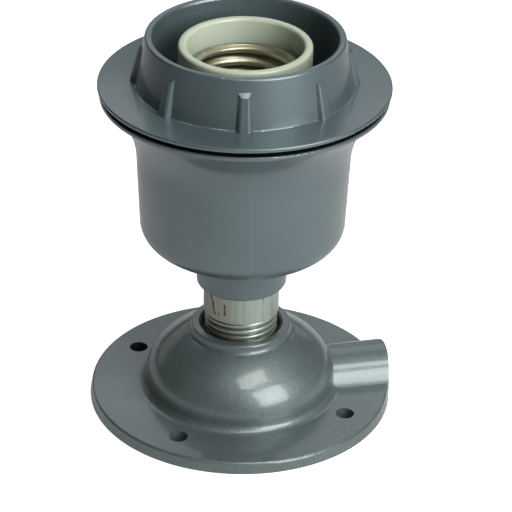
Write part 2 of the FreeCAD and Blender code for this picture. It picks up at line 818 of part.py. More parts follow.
def screw_shell():
    """The plated shell: a thin drawn wall with a wider mouth, a seat and two lugs for its screws.

    The wall stands at the mean radius of the lamp thread that is rolled into it.
    """
    body = new_body("shell_drawing")
    thick = size.shell_wall
    outer = shell_inner + thick
    seat = shell_inner - size.shell_seat_width
    mouth = size.shell_height - size.shell_mouth_height
    step = shell_mouth - outer
    outline = Outline(sketch_on(body, "shell_outline", "XZ_Plane"), seat, 0)
    outline.line(outer, 0)
    outline.line(outer, mouth - step)
    outline.line(shell_mouth, mouth)
    outline.line(shell_mouth, size.shell_height)
    outline.line(shell_mouth - thick, size.shell_height)
    outline.line(shell_mouth - thick, mouth + thick / 2)
    outline.line(shell_inner, mouth - step + thick / 2)
    outline.line(shell_inner, thick)
    outline.line(seat, thick)
    turned(body, outline.close(), "shell_turned")
    lugs = sketch_on(body, "lug_outline", "XY_Plane")
    half = size.lug_width / 2
    tip = lug_offset - size.contact_head_radius - size.lug_margin
    rectangle(lugs, tip, -half, seat + thick, half)
    rectangle(lugs, -half, tip, half, seat + thick)
    padded(body, lugs, "lugs", thick)

    tools = []
    for name, x, y in (("lug_hole_1", lug_offset, 0), ("lug_hole_2", 0, lug_offset)):
        hole = rod(name, size.contact_screw_radius + size.pocket_gap, thick * 3)
        tools.append(place(hole, x=x, y=y, z=-thick))
    return place(cut("screw_shell", body, tools), z=shell_level)


def shell_fixings():
    """The two screws through the shell's lugs, and the nut under the second one."""
    seat = shell_level + size.shell_wall
    length = size.contact_screw_length
    screws = []
    for name, x, y in (("shell_screw_x", lug_offset, 0), ("shell_screw_y", 0, lug_offset)):
        item = screw(name, size.contact_screw_radius, length,
                     size.contact_head_radius, size.contact_head_height)
        screws.append(place(item, x=x, y=y, z=seat))
    nut = block("nut_blank", size.nut_width, size.nut_width, size.nut_height)
    nut_top = size.block_height
    place(nut, x=-size.nut_width / 2, y=lug_offset - size.nut_width / 2,
          z=nut_top - size.nut_height)
    hole = rod("nut_hole", size.contact_screw_radius + size.thread_gap, size.block_height)
    place(hole, y=lug_offset)
    nut_piece = place(cut("shell_nut", nut, [hole]), z=insert_level)
    return [place(group("shell_screws", screws)), nut_piece]


def terminal(label, start, direction):
    """A brass terminal block with a tapped top hole, a wire hole and a tapped end hole."""
    body = block(f"{label}_blank", size.block_length, size.block_width, size.block_height)
    place(body, y=-size.block_width / 2)
    tapped = rod(f"{label}_tapped", size.contact_screw_radius + size.thread_gap,
                 size.block_height + OVERCUT)
    place(tapped, x=size.block_screw_place)
    wire = rod(f"{label}_wire", size.wire_hole_radius, size.wire_hole_depth + OVERCUT)
    place(wire, x=size.wire_place, z=Size.of(-OVERCUT))
    end = rod(f"{label}_end", size.terminal_screw_radius + size.thread_gap, size.block_length)
    place(end, x=size.wire_place, z=size.terminal_screw_height, axis=(0, 1, 0), angle=90)
    item = cut(label, body, [tapped, wire, end])
    return place(item, x=start * direction, z=insert_level, angle=0 if direction > 0 else 180)


def terminal_screws():
    """The two wire screws, each part-way out of its block and ready for a wire."""
    screws = []
    for name, start, direction in (("terminal_screw_shell", shell_block_start, 1),
                                   ("terminal_screw_contact", contact_block_start, -1)):
        item = screw(name, size.terminal_screw_radius, size.terminal_screw_length,
                     size.terminal_head_radius, size.terminal_head_radius * 0.7)
        out = start + size.wire_place + size.terminal_screw_length
        place(item, x=out * direction, z=insert_level + size.terminal_screw_height,
              axis=(0, 1, 0), angle=90 * direction)
        screws.append(item)
    return place(group("terminal_screws", screws))


def insert_fixings():
    """The two screws that hold the insert on the cup's pillars, with their washers."""
    seat = insert_level + size.insert_flange_height
    screws = []
    washers = []
    for side in (1, -1):
        y = size.pillar_circle * side
        ring = washer(f"insert_washer_{side % 3}", size.insert_head_radius,
                      size.insert_screw_radius + size.pocket_gap, size.washer_thickness)
        washers.append(place(ring, y=y, z=seat))
        item = screw(f"insert_screw_{side % 3}", size.insert_screw_radius, size.insert_screw_length,
                     size.insert_head_radius, size.insert_head_radius * 0.8)
        screws.append(place(item, y=y, z=seat + size.washer_thickness))
    return [place(group("insert_screws", screws)), place(group("insert_washers", washers))]


def contact_tongue():
    """The folded spring strip of the centre contact: foot, riser, flat top and turned-down tip."""
    body = new_body("tongue_strip")
    thick = size.tongue_thickness
    top = size.tongue_rise
    sketch = sketch_on(body, "tongue_outline", "XZ_Plane", -(size.tongue_width / 2))
    outline = Outline(sketch, -size.tongue_foot_end, 0)
    outline.line(-size.tongue_bend, 0)
    outline.line(-size.tongue_top_start, top)
    outline.line(size.tongue_top_end, top)
    outline.line(size.tongue_top_end + thick * 1.5, top - thick * 1.5)
    outline.line(size.tongue_top_end + thick * 2.2, top - thick * 0.8)
    outline.line(size.tongue_top_end + thick * 0.4, top + thick)
    outline.line(-size.tongue_top_start - thick * 0.7, top + thick)
    outline.line(-size.tongue_bend - thick * 0.7, thick)
    outline.line(-size.tongue_foot_end, thick)
    padded(body, outline.close(), "tongue_pad", size.tongue_width)
    screw_hole = rod("tongue_screw_hole", size.contact_screw_radius + size.pocket_gap, thick * 3)
    place(screw_hole, x=-size.tongue_screw_place, z=-thick)
    button_hole = rod("tongue_button_hole", size.button_shank + size.thread_gap, thick * 3)
    place(button_hole, z=top - thick)
    item = cut("contact_tongue", body, [screw_hole, button_hole])
    fixing = screw("contact_screw", size.contact_screw_radius, size.contact_screw_length,
                   size.contact_head_radius, size.contact_head_height)
    place(fixing, x=-size.tongue_screw_place, z=tongue_level + thick)
    return [place(item, z=tongue_level), fixing]


def contact_button():
    """The rivet on the tongue that meets the lamp's centre contact."""
    body = new_body("contact_button")
    thick = size.tongue_thickness
    head = thick + size.button_height
    side = size.button_height / 2
    clench = size.button_shank + size.button_clench
    outline = Outline(sketch_on(body, "button_outline", "XZ_Plane"), 0, -size.button_clench)
    outline.line(clench, -size.button_clench)
    outline.line(clench, 0)
    outline.line(size.button_shank, 0)
    outline.line(size.button_shank, thick)
    outline.line(size.button_radius, thick)
    outline.line(size.button_radius, head - side)
    outline.arc(size.button_radius - side, head - side, x=size.button_radius - side)
    outline.line(0, head)
    turned(body, outline.close(), "button_turned")
    return place(body, z=tongue_level + size.tongue_rise)


def checked(items):
    """Stops if any object failed or any piece is empty or invalid."""
    document.recompute()
    for item in document.Objects:
        if "Invalid" in item.State or "Error" in item.State:
            raise RuntimeError(f"{item.Name} failed: {item.State}")
    for item in items:
        if item.Shape.isNull() or not item.Shape.isValid():
            raise RuntimeError(f"{item.Label} has no valid shape")
    return items


pieces = [cast_base(), *earth_parts(), conduit_nipple(), holder_cup(), ring_gasket(), shade_ring()]
pieces += [ceramic_insert(), screw_shell(), *shell_fixings(), terminal_screws(), *insert_fixings()]
pieces += [terminal("shell_terminal", shell_block_start, 1)]
pieces += [terminal("contact_terminal", contact_block_start, -1)]
pieces += [*contact_tongue(), contact_button()]

os.makedirs("parts", exist_ok=True)
for piece in checked(pieces):
    piece.Shape.exportStep(f"parts/{piece.Label}.step")
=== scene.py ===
"""Looks of a screw lamp holder: paint, moulded plastic, zinc, rubber, ceramic and plated brass.

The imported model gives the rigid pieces. This script rolls the lamp thread into the shell, cuts
the nipple's threads, dresses every piece in its finish, and sets the floor, lamps and camera.
"""
import logging
import math
from abc import ABC, abstractmethod
from dataclasses import dataclass, field
from enum import Enum

import bmesh
import bpy
import numpy as np
from mathutils import Matrix, Vector


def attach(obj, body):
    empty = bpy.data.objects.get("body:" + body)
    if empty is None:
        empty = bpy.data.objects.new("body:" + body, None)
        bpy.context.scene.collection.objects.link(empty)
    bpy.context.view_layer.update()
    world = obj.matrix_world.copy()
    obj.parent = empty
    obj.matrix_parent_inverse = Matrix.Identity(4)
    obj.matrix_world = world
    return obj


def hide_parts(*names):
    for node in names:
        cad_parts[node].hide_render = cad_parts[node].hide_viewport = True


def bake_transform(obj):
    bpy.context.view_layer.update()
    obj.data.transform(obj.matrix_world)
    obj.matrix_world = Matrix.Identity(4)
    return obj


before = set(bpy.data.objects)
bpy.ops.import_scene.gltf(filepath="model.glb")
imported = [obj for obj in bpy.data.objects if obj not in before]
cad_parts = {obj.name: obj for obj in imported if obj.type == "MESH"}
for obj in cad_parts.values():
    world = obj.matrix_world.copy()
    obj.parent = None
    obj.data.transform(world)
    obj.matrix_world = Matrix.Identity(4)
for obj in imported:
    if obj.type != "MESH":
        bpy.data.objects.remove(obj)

log = logging.getLogger("lamp_holder")
MM = 0.001
TURN = 2 * math.pi
SHARP_ANGLE = math.radians(35)
WHITE = (1.0, 1.0, 1.0)
Colour = tuple[float, float, float]
Socket = bpy.types.NodeSocket


class Metal(Enum):
    """The bare metals of the shell, the contacts and the screws."""

    PLATED = "plated_brass"
    BARE = "bare_brass"
    ZINC = "zinc_steel"


class Rise(Enum):
    """How a ramp goes from 0 to 1."""

    STRAIGHT = "LINEAR"
    EASED = "SMOOTHSTEP"


def srgb(red: int, green: int, blue: int) -> Colour:
    """Turns a screen colour into the linear colour that a shader takes.

    Dark values are divided by 12.92. The others are raised to 2.4 after an offset of 0.055.

    Args:
        red: Red from 0 to 255.
        green: Green from 0 to 255.
        blue: Blue from 0 to 255.

    Returns:
        The linear colour.
    """
    values = np.array([red, green, blue]) / 255
    linear = np.where(values <= 0.04045, values / 12.92, ((values + 0.055) / 1.055) ** 2.4)
    return tuple(float(value) for value in linear)


# Node trees


@dataclass
class Graph:
    """A node tree that is being built.

    Attributes:
        tree: The tree of a material, world or node group.
    """

    tree: bpy.types.NodeTree

    def node(self, kind: str, settings: dict[str, object] | None = None,
             inputs: dict[int, object] | None = None, **values: object) -> bpy.types.Node:
        """Adds a node.

        Args:
            kind: The node's class name in Blender, without the ShaderNode prefix.
            settings: Properties of the node itself.
            inputs: Values or source sockets for its inputs, by their place in the list.
            **values: Values or source sockets for its inputs by name, with _ for a space.

        Returns:
            The new node.
        """
        node = self.tree.nodes.new(kind if kind.startswith("Node") else f"ShaderNode{kind}")
        for name, value in (settings or {}).items():
            setattr(node, name, value)
        named = {name.replace("_", " "): value for name, value in values.items()}
        for key, value in ((inputs or {}) | named).items():
            self.put(node.inputs[key], value)
        return node

    def put(self, socket: Socket, value: object) -> None:
        """Gives a socket its value.

        Args:
            socket: An input of a node.
            value: A number, a colour, a vector, or a source socket that is linked to it.
        """
        if isinstance(value, Socket):
            self.tree.links.new(value, socket)
        elif isinstance(value, tuple) and len(value) == 3 and socket.type == "RGBA":
            socket.default_value = (*value, 1.0)
        else:
            socket.default_value = value

    def maths(self, operation: str, first: object, second: object = 0.0) -> Socket:
        """Works out a number from one or two others.

        Args:
            operation: The Math node's operation.
            first: A number or a socket.
            second: A number or a socket.

        Returns:
            The result's socket.
        """
        return self.node("Math", {"operation": operation}, {0: first, 1: second}).outputs[0]

    def times(self, *factors: object) -> Socket:
        """Multiplies numbers or sockets.

        Args:
            *factors: Two or more factors.

        Returns:
            The product's socket.
        """
        product = factors[0]
        for factor in factors[1:]:
            product = self.maths("MULTIPLY", product, factor)
        return product

    def mix(self, share: object, first: object, second: object) -> Socket:
        """Mixes two colours. The Mix node has its colour sockets at 6 and 7, and at 2 outside.

        Args:
            share: The second colour's share, as a number or a socket.
            first: A colour or a socket.
            second: A colour or a socket.

        Returns:
            The mixed colour's socket.
        """
        inputs = {0: share, 6: first, 7: second}
        return self.node("Mix", {"data_type": "RGBA"}, inputs).outputs[2]

    def choose(self, share: Socket, first: bpy.types.Node,
               second: bpy.types.Node) -> bpy.types.Node:
        """Mixes two shaders.

        Args:
            share: The second shader's share.
            first: A shader's node.
            second: A shader's node.

        Returns:
            The mixing node.
        """
        inputs = {0: share, 1: first.outputs[0], 2: second.outputs[0]}
        return self.node("MixShader", inputs=inputs)

    def noise(self, place: Socket, scale: object, detail: float, roughness: float) -> Socket:
        """Adds a cloudy noise from 0 to 1.

        Args:
            place: Where the noise is taken.
            scale: Its waves in a metre, as a number or a socket.
            detail: How many finer layers it has.
            roughness: How much the finer layers count.

        Returns:
            The noise's socket.
        """
        node = self.node("TexNoise", Vector=place, Scale=scale, Detail=detail, Roughness=roughness)
        return node.outputs["Fac"]

    def ramp(self, value: object, start: object, end: object,
             rise: Rise = Rise.STRAIGHT) -> Socket:
        """Rises from 0 at start to 1 at end, or falls where end is below start.

        Args:
            value: A number or a socket.
            start: The value that gives 0.
            end: The value that gives 1.
            rise: The ramp's form.

        Returns:
            The ramp's socket.
        """
        node = self.node("MapRange", {"interpolation_type": rise.value}, Value=value,
                         From_Min=start, From_Max=end)
        return node.outputs["Result"]

    def between(self, share: Socket, low: float, high: float) -> Socket:
        """Turns a share from 0 to 1 into a number from low to high."""
        return self.node("MapRange", Value=share, To_Min=low, To_Max=high).outputs["Result"]

    def level(self, place: Socket) -> Socket:
        """Takes a place's height above the floor."""
        return self.node("SeparateXYZ", Vector=place).outputs["Z"]

    def radius(self, place: Socket) -> Socket:
        """Measures the distance from the axis: the root of x squared plus y squared.

        Args:
            place: The object's own coordinates.

        Returns:
            The distance's socket.
        """
        parts = self.node("SeparateXYZ", Vector=place)
        squared = self.maths("ADD", self.maths("POWER", parts.outputs["X"], 2.0),
                             self.maths("POWER", parts.outputs["Y"], 2.0))
        return self.maths("SQRT", squared)

    def beside(self, place: Socket, angle: float) -> tuple[Socket, Socket]:
        """Measures a place against an upright plane that goes out from the axis at an angle.

        The distance across is y cos a - x sin a. The plane's side is where x cos a + y sin a is
        above 0.

        Args:
            place: The object's own coordinates.
            angle: The plane's direction about the axis, in radians.

        Returns:
            Sockets of the distance across the plane, and of 1 on its side of the axis.
        """
        parts = self.node("SeparateXYZ", Vector=place)
        cosine, sine = math.cos(angle), math.sin(angle)
        along = self.maths("ADD", self.times(parts.outputs["X"], cosine),
                           self.times(parts.outputs["Y"], sine))
        across = self.maths("SUBTRACT", self.times(parts.outputs["Y"], cosine),
                            self.times(parts.outputs["X"], sine))
        return across, self.maths("GREATER_THAN", along, 0.0)


def new_group(name: str, inputs: dict[str, float],
              outputs: tuple[str, ...]) -> tuple[Graph, bpy.types.NodeOutputs]:
    """Makes an empty node group, which starts with a Place input.

    Args:
        name: The group's name.
        inputs: Names of the number inputs and their usual values.
        outputs: Names of the number outputs.

    Returns:
        The group's graph, and the sockets of its inputs as they are seen from inside.
    """
    group = bpy.data.node_groups.new(name, "ShaderNodeTree")
    group.interface.new_socket("Place", in_out="INPUT", socket_type="NodeSocketVector")
    for label, value in inputs.items():
        socket = group.interface.new_socket(label, in_out="INPUT", socket_type="NodeSocketFloat")
        socket.default_value = value
    for label in outputs:
        group.interface.new_socket(label, in_out="OUTPUT", socket_type="NodeSocketFloat")
    graph = Graph(group)
    return graph, graph.node("NodeGroupInput").outputs


@dataclass
class Effects:
    """The surface effects that several finishes share, each a node group built once."""

    mottle: bpy.types.NodeTree = field(init=False)
    peel: bpy.types.NodeTree = field(init=False)
    streaks: bpy.types.NodeTree = field(init=False)

    def __post_init__(self) -> None:
        """Builds the groups."""
        self.mottle = self.build_mottle()
        self.peel = self.build_peel()
        self.streaks = self.build_streaks()

    @staticmethod
    def build_mottle() -> bpy.types.NodeTree:
        """Builds cloudy patches: a soft noise whose range is stretched between two levels.

        Returns:
            The node group.
        """
        graph, given = new_group("mottle", {"Scale": 60.0, "Low": 0.4, "High": 0.6}, ("Mask",))
        noise = graph.noise(given["Place"], given["Scale"], detail=4.0, roughness=0.6)
        mask = graph.ramp(noise, given["Low"], given["High"], Rise.EASED)
        graph.node("NodeGroupOutput", Mask=mask)
        return graph.tree

    @staticmethod
    def build_peel() -> bpy.types.NodeTree:
        """Builds orange peel and grain: a wide and a fine noise added as one height.

        Returns:
            The node group.
        """
        usual = {"Wide Scale": 500.0, "Fine Scale": 2500.0, "Fine Share": 0.3}
        graph, given = new_group("peel", usual, ("Height", "Grain"))
        wide = graph.noise(given["Place"], given["Wide Scale"], detail=1.0, roughness=0.4)
        fine = graph.noise(given["Place"], given["Fine Scale"], detail=2.0, roughness=0.6)
        height = graph.maths("ADD", wide, graph.times(fine, given["Fine Share"]))
        graph.node("NodeGroupOutput", Height=height, Grain=fine)
        return graph.tree

    @staticmethod
    def build_streaks() -> bpy.types.NodeTree:
        """Builds lines along the axis: a noise with many waves across it and few along it.

        Returns:
            The node group.
        """
        usual = {"Across": 400.0, "Along": 40.0, "Low": 0.5, "High": 0.65}
        graph, given = new_group("streaks", usual, ("Mask",))
        parts = graph.node("SeparateXYZ", Vector=given["Place"]).outputs
        waves = graph.node("CombineXYZ", X=graph.times(parts["X"], given["Across"]),
                           Y=graph.times(parts["Y"], given["Across"]),
                           Z=graph.times(parts["Z"], given["Along"]))
        noise = graph.noise(waves.outputs["Vector"], 1.0, detail=3.0, roughness=0.65)
        mask = graph.ramp(noise, given["Low"], given["High"], Rise.EASED)
        graph.node("NodeGroupOutput", Mask=mask)
        return graph.tree


# Finishes


@dataclass(frozen=True)
class Relief:
    """A finish's orange peel and fine grain.

    wide and fine are waves of the two noises in a metre, share is how much of the fine one is
    added, and depth is the height of a full bump in metres.
    """

    wide: float = 500.0
    fine: float = 2500.0
    share: float = 0.3
    strength: float = 0.12
    depth: float = 0.05 * MM


@dataclass
class Surface:
    """A material that is being built, with what its shader is worked out from.

    place is the object's own coordinates. grain is the fine grain of its relief, once placed.
    """

    material: bpy.types.Material
    effects: Effects | None = None
    grain: Socket | None = None
    graph: Graph = field(init=False)
    place: Socket = field(init=False)

    def __post_init__(self) -> None:
        """Empties the material and places its coordinates."""
        self.material.use_nodes = True
        self.material.node_tree.nodes.clear()
        self.graph = Graph(self.material.node_tree)
        self.place = self.graph.node("TexCoord").outputs["Object"]

    def effect(self, group: bpy.types.NodeTree, **values: float) -> bpy.types.NodeOutputs:
        """Places a shared effect.

        Args:
            group: The effect's node group.
            **values: Its values, with _ for a space.

        Returns:
            The outputs of the placed group.
        """
        return self.graph.node("Group", {"node_tree": group}, Place=self.place, **values).outputs

    def finish(self, shader: bpy.types.Node) -> bpy.types.Material:
        """Joins a shader to the output and returns the material."""
        self.graph.node("OutputMaterial", Surface=shader.outputs[0])
        return self.material


@dataclass(frozen=True)
class Patches:
    """Cloudy patches: waves in a metre, and the noise at which a patch begins and is full."""

    scale: float
    low: float
    high: float

    def mask(self, surface: Surface) -> Socket:
        """Places the patches and returns their mask."""
        return surface.effect(surface.effects.mottle, Scale=self.scale, Low=self.low,
                              High=self.high)["Mask"]


class Finish(ABC):
    """What a piece is made of or covered with: a named material with its relief."""

    name: str
    relief: Relief

    @abstractmethod
    def shader(self, surface: Surface) -> bpy.types.Node:
        """Builds the finish's shader.

        Args:
            surface: The material that is being built.

        Returns:
            The shader's node.
        """

    def build(self, effects: Effects) -> bpy.types.Material:
        """Builds the material: the finish's own shader, with the relief as its bump.

        Args:
            effects: The shared effects.

        Returns:
            The material.
        """
        surface = Surface(bpy.data.materials.new(self.name), effects)
        peel = surface.effect(effects.peel, Wide_Scale=self.relief.wide,
                              Fine_Scale=self.relief.fine, Fine_Share=self.relief.share)
        surface.grain = peel["Grain"]
        shader = self.shader(surface)
        bump = surface.graph.node("Bump", Strength=self.relief.strength,
                                  Distance=self.relief.depth, Height=peel["Height"])
        surface.graph.put(shader.inputs["Normal"], bump.outputs["Normal"])
        return surface.finish(shader)


@dataclass(frozen=True)
class CastPaint(Finish):
    """Glossy metallic paint over a casting, with fine flakes, and painted shade inside the boss
    hole.
    """

    name: str = "cast_paint"
    relief: Relief = Relief(wide=700.0, fine=2800.0, strength=0.4, depth=0.12 * MM)
    patches: Patches = Patches(70.0, 0.35, 0.7)
    tone: Colour = srgb(106, 120, 122)
    shade: Colour = srgb(98, 112, 114)
    flake: Colour = srgb(156, 168, 168)
    flake_low: float = 0.52
    flake_high: float = 0.74
    flake_share: float = 0.38
    painted_shade: Colour = srgb(44, 38, 28)
    painted_shade_radius: float = 10.75 * MM
    unshaded_radius: float = 11.0 * MM
    metallic: float = 0.6
    roughness: float = 0.5
    coat: float = 0.7
    coat_roughness: float = 0.13

    def shader(self, surface: Surface) -> bpy.types.Node:
        """Builds the paint: tone by patches, flakes by grain, and dark, dull painted shade in the
        boss hole.

        Args:
            surface: The material that is being built.

        Returns:
            The shader's node.
        """
        graph = surface.graph
        tone = graph.mix(self.patches.mask(surface), self.shade, self.tone)
        flakes = graph.ramp(surface.grain, self.flake_low, self.flake_high)
        painted = graph.mix(graph.times(flakes, self.flake_share), tone, self.flake)
        # Painted shade: dark brown with no metal or coat inside the boss hole, in the gap round
        # the nipple.
        unshaded = graph.ramp(graph.radius(surface.place), self.painted_shade_radius, self.unshaded_radius)
        return graph.node("BsdfPrincipled", Base_Color=graph.mix(unshaded, self.painted_shade, painted),
                          Metallic=graph.times(unshaded, self.metallic), Roughness=self.roughness,
                          Coat_Weight=graph.times(unshaded, self.coat),
                          Coat_Roughness=self.coat_roughness)


@dataclass(frozen=True)
class MouldedPlastic(Finish):
    """Satin grey plastic with a faint pearl grain and a flow line down the cup's front."""

    name: str = "moulded_plastic"
    relief: Relief = Relief(wide=300.0, fine=2400.0, share=0.5, strength=0.1)
    patches: Patches = Patches(45.0, 0.3, 0.7)
    tone: Colour = srgb(103, 119, 124)
    shade: Colour = srgb(97, 113, 118)
    line: Colour = srgb(105, 120, 125)
    line_angle: float = math.radians(-97.7)
    line_width: float = 0.7 * MM
    line_top: float = 90.5 * MM
    line_fade: float = 4.0 * MM
    metallic: float = 0.55
    smooth: float = 0.37
    rough: float = 0.47
    refraction: float = 1.5
    coat: float = 0.6
    coat_roughness: float = 0.12

    def shader(self, surface: Surface) -> bpy.types.Node:
        """Builds the plastic: tone by patches, a thin lighter line at one angle, gloss by grain.

        Args:
            surface: The material that is being built.

        Returns:
            The shader's node.
        """
        graph = surface.graph
        tone = graph.mix(self.patches.mask(surface), self.shade, self.tone)
        across, facing = graph.beside(surface.place, self.line_angle)
        near = graph.ramp(graph.maths("ABSOLUTE", across), self.line_width, 0.0)
        below = graph.ramp(graph.level(surface.place), self.line_top,
                           self.line_top - self.line_fade)
        colour = graph.mix(graph.times(near, facing, below), tone, self.line)
        return graph.node("BsdfPrincipled", Base_Color=colour, Metallic=self.metallic,
                          Roughness=graph.between(surface.grain, self.smooth, self.rough),
                          IOR=self.refraction, Coat_Weight=self.coat,
                          Coat_Roughness=self.coat_roughness)


@dataclass(frozen=True)
class Run:
    """A thin brown run on the nipple, in millimetres.

    Attributes:
        angle: Its direction about the axis, in degrees.
        top: The height of its upper end.
        bottom: The height of its lower end.
        width: Half of its width.
        lean: How far it drifts aside on its way down.
        strength: How much of the stain's colour it shows.
        core: The share of the width that shows it in full.
        waver_scale: Waves of its wavering in a metre.
        waver: How far it wavers, from side to side.
        top_fade: The length over which it sets in.
        bottom_fade: The length over which it ends.
    """

    angle: float
    top: float
    bottom: float
    width: float
    lean: float
    strength: float
    core: float = 0.35
    waver_scale: float = 520.0
    waver: float = 1.6
    top_fade: float = 0.3
    bottom_fade: float = 0.5

    def mask(self, graph: Graph, place: Socket) -> Socket:
        """Builds the run's mask: near a wavering line, between its ends, on its own side.

        Args:
            graph: The material's node tree.
            place: The object's own coordinates.

        Returns:
            The mask's socket.
        """
        across, facing = graph.beside(place, math.radians(self.angle))
        level = graph.level(place)
        noise = graph.noise(place, self.waver_scale, detail=3.0, roughness=0.6)
        aside = graph.times(graph.maths("SUBTRACT", noise, 0.5), self.waver * MM)
        from_middle = graph.maths("SUBTRACT", level, (self.top + self.bottom) / 2 * MM)
        drift = graph.times(from_middle, self.lean / (self.bottom - self.top))
        offset = graph.maths("SUBTRACT", graph.maths("SUBTRACT", across, drift), aside)
        near = graph.ramp(graph.maths("ABSOLUTE", offset), self.width * MM,
                          self.width * self.core * MM)
        below = graph.ramp(level, self.top * MM, (self.top - self.top_fade) * MM)
        above = graph.ramp(level, self.bottom * MM, (self.bottom + self.bottom_fade) * MM)
        return graph.times(near, below, above, facing, self.strength)


@dataclass(frozen=True)
class GalvanisedSteel(Finish):
    """Dull zinc with fine lengthways lines, a haze and brown runs on one side, and painted shade
    in the thread grooves.
    """

    name: str = "galvanised_steel"
    relief: Relief = Relief(wide=700.0, fine=3000.0, share=0.6)
    zinc: Colour = srgb(180, 192, 186)
    dull: Colour = srgb(160, 172, 166)
    lines_across: float = 1000.0
    lines_along: float = 30.0
    lines_low: float = 0.3
    lines_high: float = 0.75
    haze: Colour = srgb(132, 126, 104)
    haze_angle: float = math.radians(-152)
    haze_edge: float = 8.8 * MM
    haze_core: float = 3.3 * MM
    haze_share: float = 0.6
    painted_shade: Colour = srgb(70, 62, 44)
    painted_shade_radius: float = 9.15 * MM
    unshaded_radius: float = 9.6 * MM
    painted_shade_share: float = 0.6
    metallic: float = 0.75
    metallic_loss: float = 0.7
    roughness: float = 0.36
    stain: Colour = srgb(46, 36, 24)
    runs: tuple[Run, ...] = (
        Run(-150.0, 34.4, 28.2, 0.5, 1.9, 0.95), Run(-128.5, 32.6, 28.8, 0.42, 0.4, 0.95),
        Run(-138.0, 29.4, 28.0, 0.24, 0.6, 0.8), Run(-166.0, 32.0, 30.6, 0.3, 0.0, 0.6),
        Run(-67.6, 34.4, 32.6, 0.2, 0.1, 0.7), Run(-67.0, 33.0, 27.4, 0.12, 0.3, 0.3),
        Run(-133.0, 34.9, 34.1, 2.6, 0.0, 0.6), Run(-90.0, 32.0, 27.0, 0.1, 0.4, 0.25))

    def shader(self, surface: Surface) -> bpy.types.Node:
        """Builds the zinc: lines, haze at one angle, painted shade deep in the threads, runs on
        top.

        Args:
            surface: The material that is being built.

        Returns:
            The shader's node.
        """
        graph, place = surface.graph, surface.place
        lines = surface.effect(surface.effects.streaks, Across=self.lines_across,
                               Along=self.lines_along, Low=self.lines_low,
                               High=self.lines_high)["Mask"]
        across, facing = graph.beside(place, self.haze_angle)
        near = graph.ramp(graph.maths("ABSOLUTE", across), self.haze_edge, self.haze_core)
        # Painted shade: the thread grooves, nearer the axis than the crests, are darkened brown.
        deep = graph.ramp(graph.radius(place), self.unshaded_radius, self.painted_shade_radius)
        stained = 0.0
        for run in self.runs:
            stained = graph.maths("MAXIMUM", run.mask(graph, place), stained)
        coat = graph.mix(lines, self.dull, self.zinc)
        hazy = graph.mix(graph.times(near, facing, self.haze_share), coat, self.haze)
        shaded = graph.mix(graph.times(deep, self.painted_shade_share), hazy, self.painted_shade)
        metallic = graph.maths("SUBTRACT", self.metallic,
                               graph.times(stained, self.metallic_loss))
        return graph.node("BsdfPrincipled", Base_Color=graph.mix(stained, shaded, self.stain),
                          Metallic=metallic, Roughness=self.roughness)


@dataclass(frozen=True)
class BlackRubber(Finish):
    """Matt black rubber with a little dust."""

    name: str = "black_rubber"
    relief: Relief = Relief(strength=0.2, depth=0.1 * MM)
    patches: Patches = Patches(900.0, 0.55, 0.8)
    tone: Colour = srgb(3, 5, 4)
    dust: Colour = srgb(12, 15, 14)
    dust_share: float = 0.35
    roughness: float = 0.85
    specular: float = 0.05

    def shader(self, surface: Surface) -> bpy.types.Node:
        """Builds the rubber: dust by patches.

        Args:
            surface: The material that is being built.

        Returns:
            The shader's node.
        """
        graph = surface.graph
        dusty = graph.times(self.patches.mask(surface), self.dust_share)
        return graph.node("BsdfPrincipled", Base_Color=graph.mix(dusty, self.tone, self.dust),
                          Roughness=self.roughness, Specular_IOR_Level=self.specular)


@dataclass(frozen=True)
class GlazedCeramic(Finish):
    """Off-white glazed ceramic, with painted shade inside the barrel."""

    name: str = "glazed_ceramic"
    relief: Relief = Relief(wide=350.0, strength=0.15)
    patches: Patches = Patches(150.0, 0.3, 0.7)
    glaze: Colour = srgb(191, 202, 184)
    # Painted shade: the tone of the barrel's inside, deep down.
    inner: Colour = srgb(164, 177, 166)
    barrel_shade_radius: float = 16.0 * MM
    barrel_shade_top: float = 104.0 * MM
    barrel_shade_fade: float = 8.0 * MM
    cloud: Colour = srgb(150, 158, 140)
    cloud_share: float = 0.15
    roughness: float = 0.34
    coat: float = 0.2
    coat_roughness: float = 0.15
    scatter: float = 0.2
    scatter_depth: float = 2.0 * MM
    scatter_reach: Colour = (1.0, 0.85, 0.5)

    def shader(self, surface: Surface) -> bpy.types.Node:
        """Builds the glaze: clouds by patches, and painted shade where a point is inside and deep
        down.

        Args:
            surface: The material that is being built.

        Returns:
            The shader's node.
        """
        graph = surface.graph
        # Painted shade: the inside of the barrel darkens towards the bottom.
        inside = graph.maths("LESS_THAN", graph.radius(surface.place), self.barrel_shade_radius)
        depth = graph.ramp(graph.level(surface.place), self.barrel_shade_top,
                           self.barrel_shade_top - self.barrel_shade_fade)
        tone = graph.mix(graph.times(inside, depth), self.glaze, self.inner)
        cloudy = graph.times(self.patches.mask(surface), self.cloud_share)
        return graph.node("BsdfPrincipled", Base_Color=graph.mix(cloudy, tone, self.cloud),
                          Roughness=self.roughness, Coat_Weight=self.coat,
                          Coat_Roughness=self.coat_roughness, Subsurface_Weight=self.scatter,
                          Subsurface_Scale=self.scatter_depth,
                          Subsurface_Radius=self.scatter_reach)


